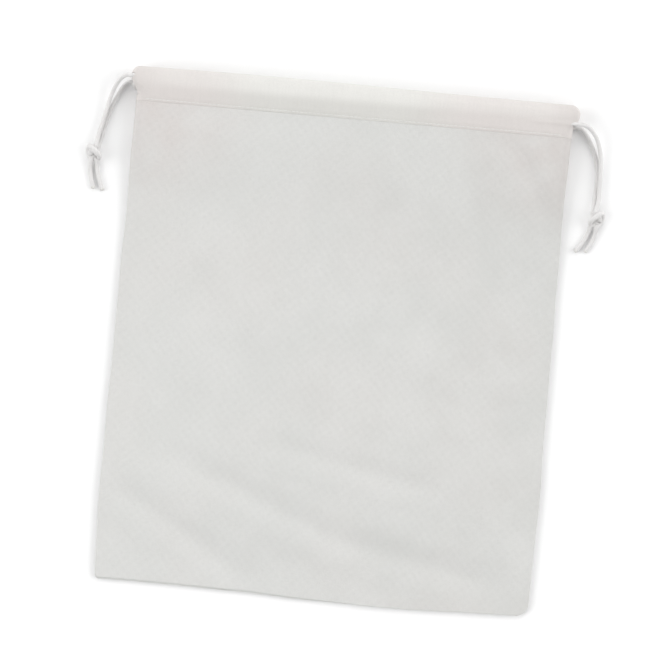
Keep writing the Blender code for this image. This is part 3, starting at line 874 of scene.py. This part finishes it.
def casing_section(station):
    """The casing's closed section at one station, up its outer face and down its inner one."""
    side, angle, x = station
    at_x = x if side == 0 else side * TURN_X
    y_outer = slit_y(OUTER_Y, station)
    puff = 0.05 * undulation(at_x, 40 * MM * math.sin(angle), 26 * MM, seed=12)
    puff = puff * np.clip((OUTER_Y - 166) / 4, 0, 1)
    ripple = 0.05 * MM * undulation(at_x, y_outer * MM * 0.35, 7 * MM, seed=14)
    ripple = ripple * (1 + 1.5 * ease(abs(at_x), 120 * MM, 146 * MM)) * np.clip(OUTER_Y - 157.5, 0, 1)
    outer = fullness(y_outer, at_x, angle > 0) * (1 + puff) + ripple
    outer = np.minimum(outer, CASING_FULLEST)
    inner = -0.86 * fullness(INNER_Y, at_x, False) - 0.1 * MM
    y = np.concatenate([y_outer, INNER_Y]) * MM
    placed = on_ring(station, y, np.concatenate([outer - CLOTH / 2, inner]))
    placed[:, 1] += top_bow(at_x) * ease(y, 158 * MM, 178 * MM)
    return placed


def in_slits(stations, columns):
    """Which of the casing's faces lie in a slit."""
    inside = np.zeros((len(stations), columns), bool)
    for row, (side, angle, _) in enumerate(stations):
        if side != 0 and abs(angle) < SLIT_HALF_ANGLE:
            low, high = (list(OUTER_Y).index(y) for y in SLIT_ROWS[side])
            inside[row, low:high] = True
    return inside.reshape(-1)


def casing_band(name):
    stations = ring_stations()
    points = np.stack([casing_section(station) for station in stations])
    rows, columns, _ = points.shape
    faces = grid_faces(rows, columns, close_rows=True, close_columns=True, flip=True)
    faces = faces[~in_slits(stations, columns)]
    made = piece(name, points.reshape(-1, 3), faces, casing_cloth)
    return thicken(made, CLOTH, offset=0)


def stitch_row(name, outward):
    """Lock stitches along the casing's lower edge: short raised threads that dip between."""
    t = np.linspace(0, 1, 7)
    lift = 0.24 * MM * np.sin(np.pi * t) ** 0.6 - 0.12 * MM
    pitch = STITCH_PITCH * MM
    parts = []
    for x in np.arange(-CASING_END_X + 0.6 * MM, CASING_END_X - pitch, pitch):
        along = x + (pitch - STITCH_GAP * MM) * t
        surface = TURN_RADIUS + fullness(np.array([STITCH_Y]), x)
        z = TURN_Z + outward * (surface + lift)
        path = np.stack([along, 0 * t + STITCH_Y * MM, z], axis=1)
        parts.append(tube(path, 0.2 * MM, around=6))
    points, faces = together(parts)
    return piece(name, points, faces, thread)


casing = casing_band("casing")
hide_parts("front_casing", "back_casing", "left_casing_end", "right_casing_end")
front_stitches = stitch_row("front_casing_stitches", 1)
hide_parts("front_casing_stitching")
back_stitches = stitch_row("back_casing_stitches", -1)
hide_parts("back_casing_stitching")
casing_stitches = [front_stitches, back_stitches]

for one in (front_cloth, back_cloth, *side_seams, *bottom_seam, casing, *casing_stitches):
    gather(one)


# ---------------------------------------------------------------- the drawstrings

# The two strands in a knot stand this far to each side of its line, in millimetres, and are thicker
# by this share
KNOT_STRAND_OFFSET = 1.45
KNOT_SWELL = 0.22

# A strand's line starts in its slit, at these distances from the middle, in millimetres
LEAD_X = (155.6, 157.2)

# A cord narrows to these shares at its sealed tip, whose (place along, radius) are in millimetres
END_TAPER = (0.98, 0.95, 0.9, 0.82)
TIP_PROFILE = ((-1.3, 1.30), (-1.0, 1.5), (-0.6, 1.54), (-0.1, 1.5), (0.4, 1.36), (0.7, 0.95), (0.85, 0.3))


def braid(angle, reach):
    """The raised diamonds of a round braid."""
    turn = 2 * np.pi * reach / BRAID_LENGTH
    strands = np.maximum(np.cos(4 * angle + 4 * turn), np.cos(4 * angle - 4 * turn))
    return BRAID_HEIGHT * (strands - 0.5)


def melted(angle, reach):
    """The slight lumps of a sealed tip."""
    return 0.05 * MM * np.cos(3 * angle + 900 * reach)


def knot_line(side_name, share):
    """One of the two strands through the knot. share is 1 for the front strand and -1 for the back."""
    line = through(np.array(KNOT_LINE) * (-SIDES[side_name], 1, 1), 0.9)
    across, up = frames_along(line)
    before = np.subtract(STRANDS[side_name + "_front"][-1], STRANDS[side_name + "_back"][-1])
    after = np.subtract(TAILS[side_name + "_front"][0], TAILS[side_name + "_back"][0])
    start = math.atan2(before @ up[0], before @ across[0])
    end = math.atan2(after @ up[-1], after @ across[-1])
    end += 2 * np.pi * round((start - end) / (2 * np.pi))
    twist = np.linspace(start, end, len(line))[:, None]
    sideways = across * np.cos(twist) + up * np.sin(twist)
    return line + share * KNOT_STRAND_OFFSET * sideways + np.array(KNOTS[side_name])


def cord_route(side_name, place):
    """A free strand's whole line: a lead inside the slit, the strand, the knot and the tail."""
    name = f"{side_name}_{place}"
    strand = STRANDS[name]
    lead = [(SIDES[side_name] * x, *strand[0][1:]) for x in LEAD_X]
    knot = knot_line(side_name, 1 if place == "front" else -1)
    return through([*lead, *strand[:-1], *knot, *TAILS[name]], 0.42) * MM


def sealed_tip(name, line):
    onwards = (line[-1] - line[-3]) / np.linalg.norm(line[-1] - line[-3])
    along, radius = np.array(TIP_PROFILE).T * MM
    points, faces = tube(line[-1] + onwards * along[:, None], radius, around=20, relief=melted)
    return piece(name, points, faces, sealed_cord)


def free_cord(side_name, place):
    name = f"{side_name}_{place}"
    line = cord_route(side_name, place)
    from_knot = np.linalg.norm(line - np.array(KNOTS[side_name]) * MM, axis=1)
    radius = CORD_DIAMETER / 2 * (1 + KNOT_SWELL * (1 - ease(from_knot, 4.4 * MM, 7 * MM)))
    radius[-len(END_TAPER):] *= END_TAPER
    points, faces = tube(line, radius, around=24, relief=braid)
    made = piece(name + "_cord", points, faces, cord_yarn)
    tip = sealed_tip(name + "_tip", line)
    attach(made, side_name + "_drawstring")
    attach(tip, side_name + "_drawstring")
    nodes = [name + "_strand", name + "_tail"] + ([side_name + "_knot"] if place == "front" else [])
    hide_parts(*nodes)


def inside_run(side_name):
    """The part of a drawstring inside the casing: in at its slit, round the far end and back."""
    side = SIDES[side_name]
    cord_y = LEFT_CORD_Y if side < 0 else RIGHT_CORD_Y
    near, far = side * RUN_END_X, -side * TURN_X_AT_CORD
    angle = np.linspace(0, np.pi, 17)
    share = (1 - np.cos(angle)) / 2
    bend = np.stack([
        far - side * TURN_RADIUS * np.sin(angle),
        cord_y["front"] + (cord_y["back"] - cord_y["front"]) * share,
        TURN_Z + TURN_RADIUS * np.cos(angle),
    ], axis=1)
    front = np.linspace((near, cord_y["front"], FRONT_Z), bend[0], 40)[:-1]
    back = np.linspace(bend[-1], (near, cord_y["back"], BACK_Z), 40)[1:]
    line = through(np.vstack([front, bend, back]) / MM, 0.6) * MM
    if side > 0:
        # Away from its slit, the front of the right cord's run lies higher in the casing
        in_front = ease(line[:, 2], BACK_Z, FRONT_Z)
        line[:, 1] += RIGHT_CORD_RISE * ease(near - line[:, 0], 20 * MM, 75 * MM) * in_front
    points, faces = tube(line, CORD_DIAMETER / 2 * HIDDEN_SQUEEZE, around=16, relief=braid)
    made = piece(side_name + "_cord_inside", points, faces, cord_yarn)
    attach(made, side_name + "_drawstring")
    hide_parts(side_name + "_drawstring_run")


for side_name in SIDES:
    for place in ("front", "back"):
        free_cord(side_name, place)
    inside_run(side_name)


# ---------------------------------------------------------------- the studio

# The view looks straight down, turned a little. Its width is measured at this height above the table
VIEW_TURN = math.radians(5.05)
VIEW_X, VIEW_Y = 0.12 * MM, 4.56 * MM
VIEW_HEIGHT = 2.4
VIEW_WIDTH = 0.467
WIDTH_AT_Z = 6 * MM
SENSOR = 36

FLOOR_WHITE = 0.97
WORLD_STRENGTH = 0.39
TABLE_REACH = 4.0
TABLE_Z = -0.1 * MM
TABLE_DULL = colour(0.965, 0.965, 0.965)
TABLE_PALE = colour(0.975, 0.975, 0.975)

eye = bpy.data.cameras.new("view")
eye.sensor_width = SENSOR
eye.lens = SENSOR * (VIEW_HEIGHT - WIDTH_AT_Z) / VIEW_WIDTH
eye.clip_end = 50
camera = bpy.data.objects.new("view", eye)
camera.location = (VIEW_X, VIEW_Y, VIEW_HEIGHT)
camera.rotation_euler = (0, 0, VIEW_TURN)
bpy.context.scene.collection.objects.link(camera)
bpy.context.scene.camera = camera


def broad_light(name, right, up, elevation, spread, share):
    """A distant, very broad lamp. share is the white it adds to the table."""
    lamp = bpy.data.lights.new(name, "SUN")
    lamp.angle = math.radians(spread)
    lamp.energy = share * math.pi / (FLOOR_WHITE * math.sin(math.radians(elevation)))
    made = bpy.data.objects.new(name, lamp)
    c, s = math.cos(VIEW_TURN), math.sin(VIEW_TURN)
    level = math.hypot(right, up)
    made.location = (right * c - up * s, right * s + up * c, level * math.tan(math.radians(elevation)))
    made.rotation_euler = (-made.location).to_track_quat("-Z", "Y").to_euler()
    bpy.context.scene.collection.objects.link(made)


broad_light("top_light", right=0.05, up=1, elevation=32, spread=60, share=0.17)
broad_light("left_light", right=-1, up=0.02, elevation=31, spread=50, share=0.25)
broad_light("right_light", right=1, up=0.02, elevation=31, spread=50, share=0.25)
broad_light("low_light", right=0, up=-1, elevation=42, spread=50, share=0.05)

world = bpy.data.worlds.new("studio")
world.use_nodes = True
world.node_tree.nodes["Background"].inputs["Color"].default_value = colour(1, 1, 1)
world.node_tree.nodes["Background"].inputs["Strength"].default_value = WORLD_STRENGTH
bpy.context.scene.world = world
bpy.context.scene.view_settings.view_transform = "Standard"

floor_finish = Finish("white_table", roughness=0.95)
floor_finish.feed("Base Color", floor_finish.mix(floor_finish.noise(0.4), TABLE_DULL, TABLE_PALE))
corners = [(x * TABLE_REACH, y * TABLE_REACH, TABLE_Z) for x, y in ((-1, -1), (1, -1), (1, 1), (-1, 1))]
floor = bpy.data.meshes.new("table_top")
floor.from_pydata(corners, [], [(0, 1, 2, 3)])
floor.materials.append(floor_finish.material)
table_top = bpy.data.objects.new("table_top", floor)
bpy.context.scene.collection.objects.link(table_top)
